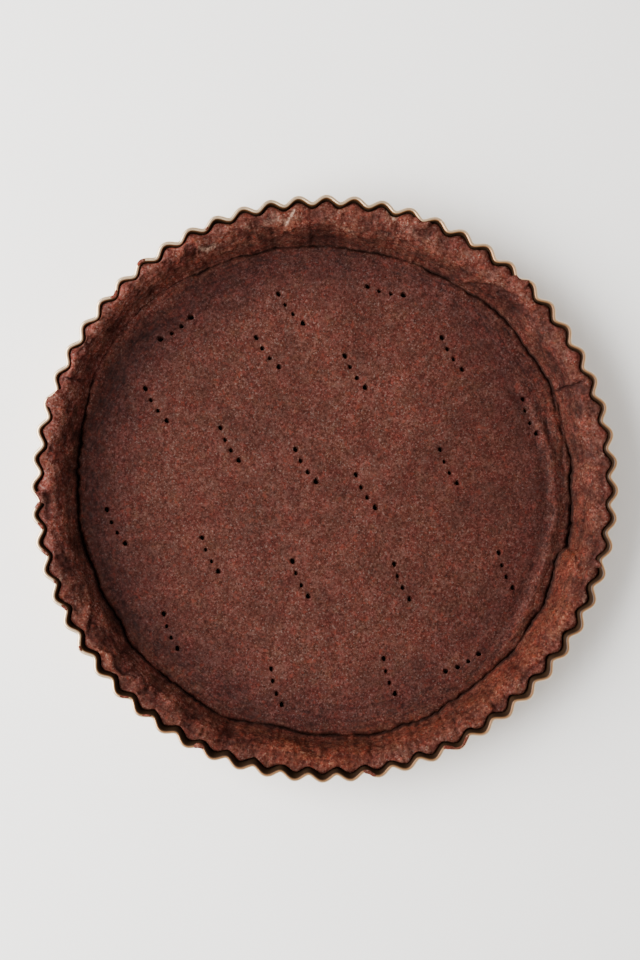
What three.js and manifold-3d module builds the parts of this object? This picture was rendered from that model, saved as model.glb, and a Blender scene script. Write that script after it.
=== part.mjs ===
// A fluted, loose-bottomed tart pan with a baked pastry case in it.
// Millimetres, +Z up. The origin is the centre of the ring's foot, on the surface that the pan stands on.
// Three separate pieces: the fluted ring, the loose base that lies on the ring's ledge, and the pastry case.
// The base pushes up and out through the ring, and the case lifts off the base.
import * as THREE from "three";
import { mergeGeometries, mergeVertices } from "three/addons/utils/BufferGeometryUtils.js";
import Module from "manifold-3d";

// Sheet metal
const SHEET = 0.7; // thickness of the ring and of the base
const HEIGHT = 25;

// Fluted wall: a radius is the mean between a flute's crest and its trough
const FLUTES = 64;
const RIM_FLUTE = 1.5; // half the depth of a flute at the rim
const FOOT_FLUTE = 1.3; // and at the foot
const BEAD = 1.6; // thickness of the rolled rim
const RIM_INNER = 250 / 2 - RIM_FLUTE - BEAD; // the pan is 250 mm over its crests
const FOOT_INNER = 113.6;
const LEDGE_HOLE = 108.5; // radius of the hole that the base covers

// Loose base: an edge that lies on the ledge, and a panel pressed down into the hole
const BASE_CLEARANCE = 0.2; // between the base and the ledge
const BASE_EDGE = 111.6;
const PANEL_RADIUS = 102.5;
const PANEL_STEP_WIDTH = 1.4;
const PANEL_DROP = 0.7;

// Pastry case, which shrank a little from the wall in baking
const SHRINKAGE = 1.0;
const CASE_LIFT = 0.3; // between the case and the base
const CASE_FLOOR = 5.2; // thickness of its floor
const CASE_TOP = 23.2;
const CASE_EDGE_WIDTH = 5.5; // width of the top of its wall
const CASE_CORNER = 106.2; // radius where its floor meets its wall

// Holes pricked through the floor of the case with a four-tined fork
const TINES = 4;
const TINE_GAP = 5.4;
const TINE_ARC = 32; // the tips of the tines lie on a slight arc of this radius
const PRICK_RADIUS = 0.8;
const PRICKS = [
  // centre x, centre y, and the way that the row of holes runs, in degrees from +X
  [-15, 78, -49], [26, 86, -13],
  [-65, 69, 36], [-25, 59, -52], [13, 51, -57], [55, 59, -57],
  [-73, 36, -56], [-41, 19, -60], [89, 32, -68],
  [-8, 10, -57], [18, -1, -59], [54, 10, -63],
  [-90, -17, -61], [-49, -29, -64], [-10, -39, -66], [34, -40, -66], [79, -35, -68],
  [-66, -62, -68], [-20, -86, -73], [29, -81, -72], [60, -75, 28],
];

const { degToRad, lerp } = THREE.MathUtils;
const wasm = await Module();
wasm.setup();

function solidOf(geometry) {
  const bare = geometry.clone();
  bare.deleteAttribute("normal");
  bare.deleteAttribute("uv");
  const merged = mergeVertices(bare, 1e-3);
  return new wasm.Manifold(
    new wasm.Mesh({
      numProp: 3,
      vertProperties: merged.getAttribute("position").array,
      triVerts: new Uint32Array(merged.index.array),
    }),
  );
}

function geometryOf(solid) {
  const { vertProperties, triVerts } = solid.getMesh();
  return new THREE.BufferGeometry()
    .setAttribute("position", new THREE.BufferAttribute(vertProperties, 3))
    .setIndex(new THREE.BufferAttribute(triVerts, 1));
}

// The inner face of the ring's wall at a height: its mean radius and half its flute depth.
function wallAt(height) {
  const share = (height - SHEET) / (HEIGHT - BEAD / 2 - SHEET);
  return {
    radius: lerp(FOOT_INNER, RIM_INNER, share),
    flute: lerp(FOOT_FLUTE, RIM_FLUTE, share),
  };
}

// A closed profile of {radius, height, flute} turned about Z. Points with a flute depth follow the flutes.
function turned(profile, steps) {
  const outline = profile.map((p) => new THREE.Vector2(p.radius, p.height));
  const geometry = new THREE.LatheGeometry(outline, steps).rotateX(Math.PI / 2);
  const position = geometry.getAttribute("position");
  for (let i = 0; i < position.count; i++) {
    const { radius, flute = 0 } = profile[i % profile.length];
    if (!flute) continue;
    const angle = Math.atan2(position.getX(i), position.getY(i));
    const stretch = 1 + (flute * Math.cos(FLUTES * angle)) / radius;
    position.setX(i, position.getX(i) * stretch);
    position.setY(i, position.getY(i) * stretch);
  }
  return geometry;
}

function flutedRing() {
  const foot = (radius, height) => ({ radius, height, flute: FOOT_FLUTE });
  const rim = (radius, height) => ({ radius, height, flute: RIM_FLUTE });
  const bead = (degrees) =>
    rim(
      RIM_INNER + (BEAD / 2) * (1 + Math.cos(degToRad(degrees))),
      HEIGHT - (BEAD / 2) * (1 - Math.sin(degToRad(degrees))),
    );
  const ledgeUnder = { radius: LEDGE_HOLE, height: 0 };
  const profile = [
    ledgeUnder,
    foot(FOOT_INNER + SHEET, 0),
    rim(RIM_INNER + SHEET, HEIGHT - BEAD - 0.1),
    ...[0, 45, 90, 135, 180].map(bead),
    foot(FOOT_INNER, SHEET),
    { radius: LEDGE_HOLE, height: SHEET },
    ledgeUnder,
  ];
  return turned(profile, FLUTES * 6);
}

function looseBase() {
  const edgeUnder = SHEET + BASE_CLEARANCE;
  const panelUnder = edgeUnder - PANEL_DROP;
  const slope = PANEL_RADIUS + PANEL_STEP_WIDTH;
  const profile = [
    { radius: 0, height: panelUnder },
    { radius: PANEL_RADIUS, height: panelUnder },
    { radius: slope, height: edgeUnder },
    { radius: BASE_EDGE, height: edgeUnder },
    { radius: BASE_EDGE, height: edgeUnder + SHEET },
    { radius: slope, height: edgeUnder + SHEET },
    { radius: PANEL_RADIUS, height: panelUnder + SHEET },
    { radius: 0, height: panelUnder + SHEET },
  ];
  return turned(profile, 128);
}

// Every hole of every row, as one set of upright prisms that pass right through the floor.
function forkHoles(floorTop) {
  const depth = 2 * CASE_FLOOR;
  const end = ((TINES - 1) / 2) * TINE_GAP;
  const holes = [];
  for (const [x, y, heading] of PRICKS) {
    for (let tine = 0; tine < TINES; tine++) {
      const along = tine * TINE_GAP - end;
      const aside = (along ** 2 - end ** 2) / (2 * TINE_ARC);
      const spot = new THREE.Vector3(along, aside, floorTop - CASE_FLOOR / 2);
      spot.applyAxisAngle(new THREE.Vector3(0, 0, 1), degToRad(heading));
      holes.push(
        new THREE.CylinderGeometry(PRICK_RADIUS, PRICK_RADIUS, depth, 6)
          .rotateX(Math.PI / 2)
          .translate(x + spot.x, y + spot.y, spot.z),
      );
    }
  }
  return solidOf(mergeGeometries(holes));
}

function pastryCase() {
  const overEdge = SHEET + BASE_CLEARANCE + SHEET + CASE_LIFT;
  const overPanel = overEdge - PANEL_DROP;
  const floorTop = overPanel + CASE_FLOOR;
  const outer = (height) => {
    const { radius, flute } = wallAt(height);
    return { radius: radius - SHRINKAGE, height, flute };
  };
  const shoulder = outer(CASE_TOP - 1);
  const innerTop = shoulder.radius - CASE_EDGE_WIDTH;
  const profile = [
    { radius: 0, height: overPanel },
    { radius: PANEL_RADIUS - CASE_LIFT, height: overPanel },
    { radius: PANEL_RADIUS + PANEL_STEP_WIDTH - CASE_LIFT, height: overEdge },
    outer(overEdge),
    shoulder,
    { radius: shoulder.radius - 1.5, height: CASE_TOP, flute: RIM_FLUTE / 2 },
    { radius: innerTop, height: CASE_TOP - 1.2 },
    { radius: lerp(CASE_CORNER, innerTop, 0.35), height: floorTop + 5 },
    { radius: CASE_CORNER, height: floorTop },
    { radius: 0, height: floorTop },
  ];
  const whole = solidOf(turned(profile, FLUTES * 4));
  return geometryOf(whole.subtract(forkHoles(floorTop)));
}

const champagneMetal = new THREE.MeshStandardMaterial({ color: 0xb0936c, roughness: 0.35, metalness: 0.9 });
const darkPastry = new THREE.MeshStandardMaterial({ color: 0x66392f, roughness: 0.95, metalness: 0 });

function piece(name, geometry, material) {
  const mesh = new THREE.Mesh(geometry, material);
  mesh.name = name;
  return mesh;
}

const tartPan = new THREE.Group();
tartPan.name = "tart_pan";
tartPan.add(
  piece("fluted_ring", flutedRing(), champagneMetal),
  piece("loose_base", looseBase(), champagneMetal),
  piece("pastry_case", pastryCase(), darkPastry),
);

export default tartPan;
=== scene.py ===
"""Looks of a fluted, loose-bottomed tart pan that holds a baked chocolate pastry case.

Shapes are worked out in millimetres. Angles run clockwise from +Y as seen from above, in degrees where they
are listed. The ring, the base and the case stand for the three nodes of the frame. The crumbs on the ring's
rim are only here.
"""
import math
import random

import bpy
import numpy as np
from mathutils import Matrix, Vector, noise


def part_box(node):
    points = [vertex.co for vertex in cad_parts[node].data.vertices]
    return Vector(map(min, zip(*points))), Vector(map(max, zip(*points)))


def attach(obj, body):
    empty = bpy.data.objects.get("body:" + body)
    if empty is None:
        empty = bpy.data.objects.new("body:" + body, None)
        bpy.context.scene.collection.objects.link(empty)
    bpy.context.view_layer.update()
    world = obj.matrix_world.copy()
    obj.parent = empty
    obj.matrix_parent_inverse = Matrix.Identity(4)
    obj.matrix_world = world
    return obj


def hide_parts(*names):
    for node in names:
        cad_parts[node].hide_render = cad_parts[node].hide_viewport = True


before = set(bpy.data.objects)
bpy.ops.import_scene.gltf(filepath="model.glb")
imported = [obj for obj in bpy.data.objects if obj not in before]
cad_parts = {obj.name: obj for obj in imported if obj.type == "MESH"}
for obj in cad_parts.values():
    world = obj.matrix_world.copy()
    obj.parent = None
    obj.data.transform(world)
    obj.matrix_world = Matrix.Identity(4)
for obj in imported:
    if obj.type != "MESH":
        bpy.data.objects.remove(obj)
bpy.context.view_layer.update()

MM = 0.001
RING_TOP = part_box("fluted_ring")[1] / MM
BASE_LOW, BASE_HIGH = (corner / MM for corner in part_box("loose_base"))
CASE_LOW, CASE_HIGH = (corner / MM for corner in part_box("pastry_case"))

# Sheet metal, as in the frame
SHEET = 0.7
FLUTES = 64
RIM_FLUTE = 1.5  # half the depth of a flute
FOOT_FLUTE = 1.3
BEAD = 0.8  # radius of the rolled rim
RIM_INNER = RING_TOP.x - RIM_FLUTE - 2 * BEAD
FOOT_INNER = 113.6
LEDGE_HOLE = 108.5
LEDGE_RIPPLE = (111, 0.3)  # radius where the ledge starts to follow the flutes, and half their depth there
LEDGE_ROUNDING = 0.15
BEAD_HEIGHT = RING_TOP.z - BEAD
PANEL_RADIUS = 102.5
PANEL_STEP_WIDTH = 1.4
PANEL_DROP = 0.7
FOOT_BEND = 0.9  # radius of the outer corner at the ring's foot
INNER_BEND = 0.8  # and of the inner one
BEND_STEP = 18  # degrees between the rows round a bend or round the rolled rim

# Pastry case
FLOOR_TOP = CASE_LOW.z + 5.2
WALL_TOP = CASE_HIGH.z
CASE_LIFT = 0.3
LAP_LIFT = 0.5  # how far dough may stand above the rim
FLOOR_CELLS = 184  # across the floor; the wall has eight columns for each
WALL_ROWS = 28
SHADE_RADIUS = 0.130  # metres: the shaders give places as shares of this

# (degrees, mm) round the case
CREASE = [  # radius of the line where the floor meets the wall
    (5, 104.5), (10, 104.2), (15, 104.6), (24, 105), (29, 105), (36, 105.3), (40, 106.8), (44, 107.2),
    (50, 107.1), (55, 106.6), (58, 107.3), (65, 108), (70, 107.4), (75, 107), (80, 107.2), (84, 108),
    (87, 107), (91, 107), (95, 108), (103, 108.6), (104, 108), (105.3, 105.1), (108, 105.4), (113, 106.6),
    (118, 107.9), (123, 107.1), (130, 108), (140, 107.3), (147, 107.9), (150, 107.5), (152, 108.9),
    (158, 109), (161, 108), (164, 109.3), (169, 108.9), (176, 107.1), (184, 107.1), (189, 105.2),
    (194, 105.4), (200, 107.5), (203, 108.4), (208, 107.8), (216, 106.8), (222, 107.5), (232, 108.6),
    (236, 106.2), (240, 106.3), (245, 107), (249, 106.3), (258, 107.9), (263, 107.8), (270, 107.2),
    (280, 108.1), (290, 109.5), (294, 111), (305, 111.3), (318, 110.8), (329, 108.1), (334, 107.4),
    (340, 107.2), (342, 106), (348, 106.5), (352, 105.3), (358, 105.1),
]
GROOVE = [  # depth of that line
    (2, 0.2), (6, 0.8), (15, 0.8), (18, 0.2), (23, 0.3), (25, 0.9), (29, 0.9), (32, 0.3), (36, 0.8),
    (40, 0.8), (54, 0.9), (57, 1.3), (60, 1.3), (65, 0.8), (68, 0.2), (70, 0.8), (73, 0.1), (79, 0.2),
    (82, 1.2), (91, 1.6), (103, 1.5), (106, 1.3), (118, 1.4), (130, 0.9), (148, 0.9), (152, 1.4), (156, 0.8),
    (165, 1.1), (176, 1), (188, 0.9), (193, 0.5), (200, 0.9), (203, 1.4), (205.5, 0.3), (208, 1), (222, 1),
    (232, 1.7), (242, 1.5), (250, 1.5), (262, 2.3), (274, 2.3), (284, 1.7), (292, 1.2), (296, 0.3),
    (315, 0.2), (326, 0.3), (331, 0.8), (335, 0.3), (341, 1), (348, 0.7), (351, 0.3), (355, 0.9), (358, 0.6),
]
COVE = [  # how far the floor sweeps up to the wall
    (0, 0.4), (60, 0.2), (120, 0), (200, 0.1), (235, 0.4), (260, 0.7), (284, 0.9), (294, 1.6), (326, 1.6),
    (345, 0.8),
]
GAP = [  # between the case and the ring at the top
    (0, 0.6), (35, 0.45), (60, 0.25), (92, 0.25), (112, 0.95), (135, 1.3), (160, 0.85), (180, 1.4),
    (235, 1.2), (255, 0.7), (290, 0.4), (330, 0.5),
]
TOP = [  # height of the top of the wall
    (0, 23.6), (30, 23.7), (60, 24), (92, 23.9), (120, 22.8), (138, 22.2), (150, 22.8), (165, 23),
    (180, 22.4), (205, 22.3), (235, 22.7), (260, 23.3), (290, 24), (330, 23.9),
]

# The brown is partly a baked-on film and partly painted shade: it starts higher on the bead on the window
# side, lower where the bead faces away, and the inner face is near black where the gap lies in shade.
BAKED_AND_SHADED = [  # where the brown of the inner face gives out on the bead, in degrees up from its outermost line
    (0, 112), (25, 86), (55, 58), (90, 46), (120, 42), (145, 62), (180, 56), (205, 44), (222, 58), (238, 128),
    (300, 140), (335, 150),
]
BROWNING = 80  # degrees of the bead over which it turns from bare to brown

# Four-tined fork marks, as in the frame: centre x and y, and the way the row runs, in degrees from +X
PRICKS = [
    (-15, 78, -49), (26, 86, -13), (-65, 69, 36), (-25, 59, -52), (13, 51, -57), (55, 59, -57),
    (-73, 36, -56), (-41, 19, -60), (89, 32, -68), (-8, 10, -57), (18, -1, -59), (54, 10, -63),
    (-90, -17, -61), (-49, -29, -64), (-10, -39, -66), (34, -40, -66), (79, -35, -68), (-66, -62, -68),
    (-20, -86, -73), (29, -81, -72), (60, -75, 28),
]
TINES = 4
TINE_GAP = 5.4
TINE_ARC = 32
PRICK_RADIUS = 0.8
PRICK_LEAN = 0.42  # how far a hole leans to the side for each millimetre of its depth


# ---- curves and noise


def spline(points, count):
    """A smooth curve through the points, as this many points spread evenly along it."""
    p = np.array(points, float)
    p = np.vstack([2 * p[0] - p[1], p, 2 * p[-1] - p[-2]])
    t = np.linspace(0, 1, 12, endpoint=False)[:, None]
    bits = [
        0.5 * (2 * b + (c - a) * t + (2 * a - 5 * b + 4 * c - d) * t**2 + (3 * b - a - 3 * c + d) * t**3)
        for a, b, c, d in zip(p, p[1:], p[2:], p[3:])
    ]
    curve = np.vstack(bits + [p[-2:-1]])
    steps = np.linalg.norm(np.diff(curve, axis=0), axis=1)
    along = np.concatenate([[0], np.cumsum(steps)])
    even = np.linspace(0, along[-1], count)
    return np.stack([np.interp(even, along, axis) for axis in curve.T], axis=1)


def full_turn(count):
    return np.linspace(0, 2 * math.pi, count, endpoint=False)


def bearing_of(points):
    return np.arctan2(points[:, 0], points[:, 1]) % (2 * math.pi)


def around(pairs, angles, softness=2.5):
    """The value at each angle, from (degrees, value) pairs, with corners rounded over this many degrees."""
    degrees, values = np.array(sorted(pairs)).T
    fine = np.arange(0, 360, 0.25)
    curve = np.interp(fine, degrees, values, period=360)
    kernel = np.exp(-0.5 * (np.minimum(fine, 360 - fine) / softness) ** 2)
    curve = np.fft.ifft(np.fft.fft(curve) * np.fft.fft(kernel / kernel.sum())).real
    return np.interp(np.degrees(angles), fine, curve, period=360)


def lumps(points, size, seed):
    """Smooth noise of about -1 to 1 at each point, in lumps of about this size."""
    shift = Vector((3.7 * seed, 1.3 * seed, 7.1 * seed))
    return np.array([noise.noise(Vector(p) / size + shift) for p in points])


def fluted(radius, flute, offset, angles):
    """Points at a distance outside a fluted circle, measured square to it."""
    wave = FLUTES * angles
    r = radius + flute * np.cos(wave)
    slope = -FLUTES * flute * np.sin(wave)
    length = np.hypot(r, slope)
    out, side = r / length, -slope / length
    x = r * np.sin(angles) + offset * (out * np.sin(angles) + side * np.cos(angles))
    y = r * np.cos(angles) + offset * (out * np.cos(angles) - side * np.sin(angles))
    return x, y


def at_height(x, y, height):
    return np.stack([x, y, np.broadcast_to(height, x.shape)], axis=1)


def polar(radius, angles, height):
    return at_height(radius * np.sin(angles), radius * np.cos(angles), height)


def wall_at(height):
    """The inner face of the ring's wall: its mean radius and half its flute depth."""
    share = (height - SHEET) / (BEAD_HEIGHT - SHEET)
    return FOOT_INNER + share * (RIM_INNER - FOOT_INNER), FOOT_FLUTE + share * (RIM_FLUTE - FOOT_FLUTE)


# ---- meshes


def make_piece(name, points, faces, material):
    mesh = bpy.data.meshes.new(name)
    mesh.from_pydata((np.asarray(points) * MM).tolist(), [], faces)
    mesh.polygons.foreach_set("use_smooth", [True] * len(mesh.polygons))
    mesh.materials.append(material)
    piece = bpy.data.objects.new(name, mesh)
    bpy.context.scene.collection.objects.link(piece)
    return piece


def points_of(mesh):
    co = np.empty(len(mesh.vertices) * 3)
    mesh.vertices.foreach_get("co", co)
    return co.reshape(-1, 3) / MM


def store(mesh, name, values):
    """Keeps a value for each vertex on the mesh, for its material to read."""
    mesh.attributes.new(name, "FLOAT", "POINT").data.foreach_set("value", values)


def band(first, second):
    """Quads between two rows of vertices that run clockwise, seen from the side that faces out."""
    return [(first[i - 1], first[i], second[i], second[i - 1]) for i in range(len(first))]


def bands(loops):
    """Quads between each row and the next."""
    return [quad for pair in zip(loops, loops[1:]) for quad in band(*pair)]


def capped_tube(start, sides, count):
    """Faces of a tube closed at both ends: count rows of vertices, numbered from start."""
    loops = [list(range(start + i * sides, start + (i + 1) * sides)) for i in range(count)]
    return [loops[0][::-1], loops[-1]] + bands(loops)


def halving_band(first, second):
    """Triangles from a row to one with half as many vertices."""
    faces = []
    for i in range(len(second)):
        a, b, c = first[2 * i - 2], first[2 * i - 1], first[2 * i]
        faces += [(a, b, second[i - 1]), (b, second[i], second[i - 1]), (b, c, second[i])]
    return faces


def disc(cells):
    """A square grid pressed into a unit disc: its points, its quads, and its border clockwise from +Y."""
    steps = np.linspace(-1, 1, cells + 1)
    a, b = np.meshgrid(steps, steps, indexing="ij")
    wide = np.abs(a) > np.abs(b)
    radius = np.where(wide, a, b)
    safe = np.where(radius == 0, 1, radius)
    turn = np.where(wide, b / safe, 2 - a / safe) * math.pi / 4
    points = np.stack([radius * np.cos(turn), radius * np.sin(turn)], axis=-1).reshape(-1, 2)
    index = np.arange((cells + 1) ** 2).reshape(cells + 1, cells + 1)
    quads = np.stack([index[:-1, :-1], index[1:, :-1], index[1:, 1:], index[:-1, 1:]], axis=-1)
    rim = np.unique(np.concatenate([index[0], index[-1], index[:, 0], index[:, -1]]))
    bearing = bearing_of(points[rim])
    bearing[bearing > 2 * math.pi - 1e-6] = 0
    return points, quads.reshape(-1, 4).tolist(), rim[np.argsort(bearing)].tolist()


def turned(name, rows, material, closed=True):
    """A piece made of rows of points round the axis. closed joins the last row to the first."""
    columns = len(rows[0])
    index = np.arange(len(rows) * columns).reshape(len(rows), columns).tolist()
    faces = bands(index + index[:1] if closed else index)
    if not closed:
        faces += [index[0][::-1], index[-1]]
    return make_piece(name, np.vstack(rows), faces, material)


# ---- the ring and the base


def fluted_ring(material):
    """The ring as one closed sheet, and on it, for each vertex, how brown its inner face is: partly a
    baked-on film and partly painted shade.
    """
    angles = full_turn(FLUTES * 20)

    def row(height, offset, radius=None, flute=None):
        mean, depth = wall_at(height)
        x, y = fluted(radius or mean, depth if flute is None else flute, offset, angles)
        return at_height(x, y, height)

    rounded = LEDGE_HOLE + LEDGE_ROUNDING
    rows = [row(0.12, 0, LEDGE_HOLE, 0), row(0, 0, rounded, 0), row(0, 0, *LEDGE_RIPPLE)]
    brown = [0.0 * angles] * len(rows)
    baked_from = around(BAKED_AND_SHADED, angles)
    for degrees in range(0, 91, BEND_STEP):  # the outer corner at the foot
        turn = math.radians(degrees)
        height = FOOT_BEND * (1 - math.cos(turn))
        offset = SHEET - FOOT_BEND * (1 - math.sin(turn))
        mean, depth = wall_at(max(height, SHEET))
        rows.append(row(height, offset, mean, depth * (0.75 + 0.25 * math.sin(turn))))
    rows += [row(height, SHEET) for height in np.linspace(2, BEAD_HEIGHT - 1.4, 9)]
    rows.append(row(BEAD_HEIGHT - 0.85, SHEET + 0.02))
    brown += [0.0 * angles] * (len(rows) - len(brown))
    for degrees in range(-70, 181, BEND_STEP):  # the rolled rim
        turn = math.radians(degrees)
        height = BEAD_HEIGHT + BEAD * math.sin(turn)
        rows.append(row(height, BEAD * (1 + math.cos(turn)), RIM_INNER, RIM_FLUTE))
        brown.append(np.clip((degrees - baked_from) / BROWNING, 0, 1))
    rows += [row(height, 0) for height in np.linspace(BEAD_HEIGHT - 0.8, 2, 9)]
    for degrees in range(0, 91, BEND_STEP):  # the inner corner at the foot
        turn = math.radians(degrees)
        height = SHEET + INNER_BEND * (1 - math.sin(turn))
        mean, depth = wall_at(height)
        rows.append(row(height, INNER_BEND * (math.cos(turn) - 1), mean, depth * (1 - 0.25 * math.sin(turn))))
    rows += [row(SHEET, 0, *LEDGE_RIPPLE), row(SHEET, 0, rounded, 0), row(SHEET - 0.12, 0, LEDGE_HOLE, 0)]
    # the inner face: brown to near black, a baked-on film and painted shade in the gap
    brown += [0.0 * angles + 1] * (len(rows) - len(brown))
    ring = turned("ring_sheet", rows[::-1], material)
    store(ring.data, "patina_and_painted_shade", np.concatenate(brown[::-1]))
    return ring


def loose_base(material):
    angles = full_turn(360)
    edge, under, top = BASE_HIGH.x, BASE_LOW.z, BASE_HIGH.z
    middle = (under + PANEL_DROP + top) / 2
    inside = [(2, 0), (25, 0), (50, 0), (75, 0), (95, 0), (101.2, 0)]
    step = [
        (101.9, 0.03), (102.5, 0.14), (102.9, 0.3), (103.2, 0.5), (103.5, 0.7), (103.9, 0.86), (104.5, 0.97),
    ]
    flat = [(105.2, 1), (108, 1), (edge - 0.7, 1)]
    shape = [(radius, share * PANEL_DROP) for radius, share in inside + step + flat]
    nose = []
    for degrees in range(-60, 61, 30):
        turn = math.radians(degrees)
        nose.append((edge - 0.35 * (1 - math.cos(turn)), middle + (top - middle) * math.sin(turn)))
    profile = [(radius, under + lift) for radius, lift in shape] + nose
    profile += [(radius, top - PANEL_DROP + lift) for radius, lift in reversed(shape)]
    rows = [polar(radius, angles, height) for radius, height in profile]
    return turned("base_disc", rows[::-1], material, closed=False)


# ---- the pastry case

# Lines pressed, folded or cracked into the dough, as (degrees, radius) points, a width and a height. A "line"
# is a ridge or groove. A "lap" is a step, high on the left of the line as it runs, that dies away from it.
MARKS = [
    # dough folded over at the far wall, and the hollow under the fold
    ("lap", [(349, 110.2), (353, 111.8), (358, 112.8), (362, 112.4), (365, 110.1), (367.5, 107.5)], 2.6, 1.1),
    ("line", [(356, 107.5), (360, 108.4), (363, 107)], 2.2, -0.7),
    ("lap", [(368, 108.1), (372, 109.3), (376, 110.4), (380, 110.6)], 2.4, 0.5),
    ("line", [(368, 116.1), (369.5, 112.4), (368.5, 110.2)], 1.2, -0.45),
    ("line", [(372, 122.2), (374, 118.3), (373, 110.6)], 0.5, 0.3),
    ("line", [(382.8, 120.7), (382.4, 117.9), (381.8, 115.2)], 0.5, -0.9),
    ("lap", [(377.5, 120.7), (378.5, 118.8), (381.5, 119.1)], 1.2, 0.5),
    # hollow with a raised edge
    ("lap", [(33, 105.5), (35, 108.5), (38, 112), (41, 114.6), (44, 115.8), (48, 115.7),
             (53, 113.3)], 3.0, 0.9),
    ("line", [(39, 108.4), (43, 111.5), (48, 111.5)], 3.0, -0.5),
    ("line", [(30, 106), (31.5, 108.8), (33, 112.4)], 1.4, -0.4),
    # cracks and folds at the right
    ("line", [(67, 107), (66.6, 111.5), (67.2, 115.2), (67, 118.8), (66.5, 121.7)], 0.55, -1.3),
    ("lap", [(66.8, 107), (66.5, 111.5), (67, 118.8), (66.5, 121.7)], 2.5, 0.4),
    ("lap", [(78.2, 118.8), (77.6, 114.3), (76.8, 111.1), (75, 107.9)], 2.0, 0.8),
    ("lap", [(84.6, 119.7), (84.8, 114.3), (84, 110.6), (82.6, 108.4)], 2.4, 0.6),
    ("line", [(93.2, 113.2), (94.4, 112.4)], 0.5, -0.8),
    ("line", [(95.3, 117), (96.2, 117.6)], 0.5, -0.6),
    ("line", [(100.4, 118.2), (101.2, 119)], 0.5, -0.6),
    ("line", [(96.4, 111.5), (97.4, 108.8), (99.2, 106)], 0.6, -0.7),
    ("lap", [(108, 115.2), (104.5, 110.6), (103.4, 108.2), (104.6, 104)], 3.2, 0.9),
    # rim torn at the lower right
    ("line", [(126.5, 119.2), (129, 118.3), (131, 116.8), (133.5, 117.3), (135.5, 119.7)], 0.7, -1.0),
    ("line", [(137, 119.3), (139, 118.2), (141, 118.4), (143.5, 119.7)], 0.8, -0.8),
    ("line", [(141.2, 119.7), (141.6, 117.4), (141.9, 115.2)], 0.5, -0.9),
    ("lap", [(145, 119.2), (148, 117.9), (150.5, 115.6), (151.2, 112.4)], 2.0, 0.5),
    ("line", [(157.5, 119.2), (160, 118.2), (162.5, 119.5)], 0.8, -0.7),
    # fold at the bottom
    ("lap", [(169.2, 117.4), (170.3, 114.3), (169.6, 111.2), (168.2, 109.1)], 2.4, 0.4),
    ("lap", [(163.4, 108.5), (164, 111.5), (163.6, 115.2)], 1.8, 0.5),
    ("line", [(183.4, 119.7), (184.2, 117)], 0.6, -0.5),
    ("line", [(186.6, 117), (187.2, 112.9)], 1.0, -0.4),
    ("lap", [(194, 110.6), (197, 113.2), (199.5, 116.3), (203, 117.2), (208, 118.4), (212, 118.8)], 2.2, 0.5),
    # thumb marks in the lower left wall
    ("line", [(222.2, 118.3), (220.6, 115.2), (221.4, 112.6), (223.6, 111.4)], 0.6, -0.8),
    ("lap", [(223.5, 111.5), (225, 114.7), (227, 117.3), (229, 117.8), (230.8, 115.9), (232.2, 115.4),
             (233.8, 117.5), (236, 119), (238, 118.6), (240, 116.4), (241, 113.9), (243, 112),
             (250, 109.7)], 2.2, 1.5),
    ("line", [(234, 113.8), (236.5, 115.6), (239, 113.8)], 2.2, -0.5),
    ("line", [(226, 113.8), (228.5, 114.7)], 2.0, -0.4),
    # torn and lumpy rim at the left
    ("line", [(255.6, 118.3), (255, 116.1), (256.4, 113.9)], 0.8, -0.7),
    ("line", [(262, 119.2), (264.5, 118.4), (266.5, 117.2), (269, 117.9)], 0.7, -0.9),
    ("lap", [(258, 113.3), (262, 115.2), (266, 114.6), (270, 114.3), (275, 115.6), (280, 114.3)], 2.2, 0.25),
    # the wall falls back from a crack to a deep hollow at the upper left
    ("line", [(292.2, 121.7), (293, 118.8), (293.2, 116.1), (293.8, 112.9)], 0.6, -1.2),
    ("lap", [(292.8, 112.9), (293.8, 117.3), (297, 117.7), (302, 117.2), (308, 116.8), (312, 114.7),
             (318, 113.3)], 2.6, 0.4),
    ("line", [(297, 113.5), (303, 113.7), (310, 112.8)], 3.0, -0.35),
    ("line", [(305.8, 115.2), (307.2, 112.8)], 1.0, -0.6),
    ("lap", [(325.5, 112.9), (328, 116.5), (330.2, 118.8), (331.7, 118.8), (331.4, 115.6),
             (330, 111.5)], 1.8, 1),
    ("line", [(328.4, 113.9), (330.2, 116.6)], 1.3, -0.7),
    ("lap", [(331.6, 116.3), (334, 114.5), (337, 115.3), (340, 117.3), (345, 116.6)], 1.6, 0.5),
    ("lap", [(345, 114.3), (348, 113.9), (351, 114.6), (352.8, 118.4)], 1.4, 0.6),
    # floor: cracks, a plate that stands a little higher, and a low ridge with a hollow inside it
    ("line", [(341.6, 105), (342.4, 101), (342.6, 97)], 0.6, -0.5),
    ("lap", [(342.6, 97), (342.4, 101), (341.6, 105)], 4.0, 0.3),
    ("line", [(308, 103), (311.5, 101.2), (315, 99.6)], 0.6, -0.6),
    ("line", [(290, 98), (291.5, 98.6)], 0.7, -0.5),
    ("line", [(269.2, 103.4), (271, 103.2)], 0.7, -0.7),
    ("line", [(236.8, 104), (239.4, 103.8)], 0.5, -0.7),
    ("line", [(71.8, 99.9), (75, 100.2), (78.5, 99.7)], 0.55, -0.9),
    ("line", [(62, 97), (80, 99), (95, 101.5), (110, 101), (122, 103), (134, 105.5)], 1.9, 0.75),
    ("line", [(54, 92), (70, 94), (84, 95.5), (98, 96.5), (112, 96), (126, 98), (136, 100)], 2.4, -0.45),
    # broken crease at the right
    ("line", [(66, 107), (69.5, 106.8), (71.2, 106)], 0.5, -0.8),
    ("line", [(72, 104.4), (75, 103.4), (78.5, 104.6)], 1.3, 0.6),
    ("line", [(74.5, 105.9), (77, 105.8)], 0.5, -0.7),
    ("line", [(79.5, 104.4), (82, 103.9), (86, 104.4)], 0.5, -0.6),
    ("line", [(81.5, 105.3), (85.5, 105.4), (90, 105)], 0.9, 0.5),
]
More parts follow.
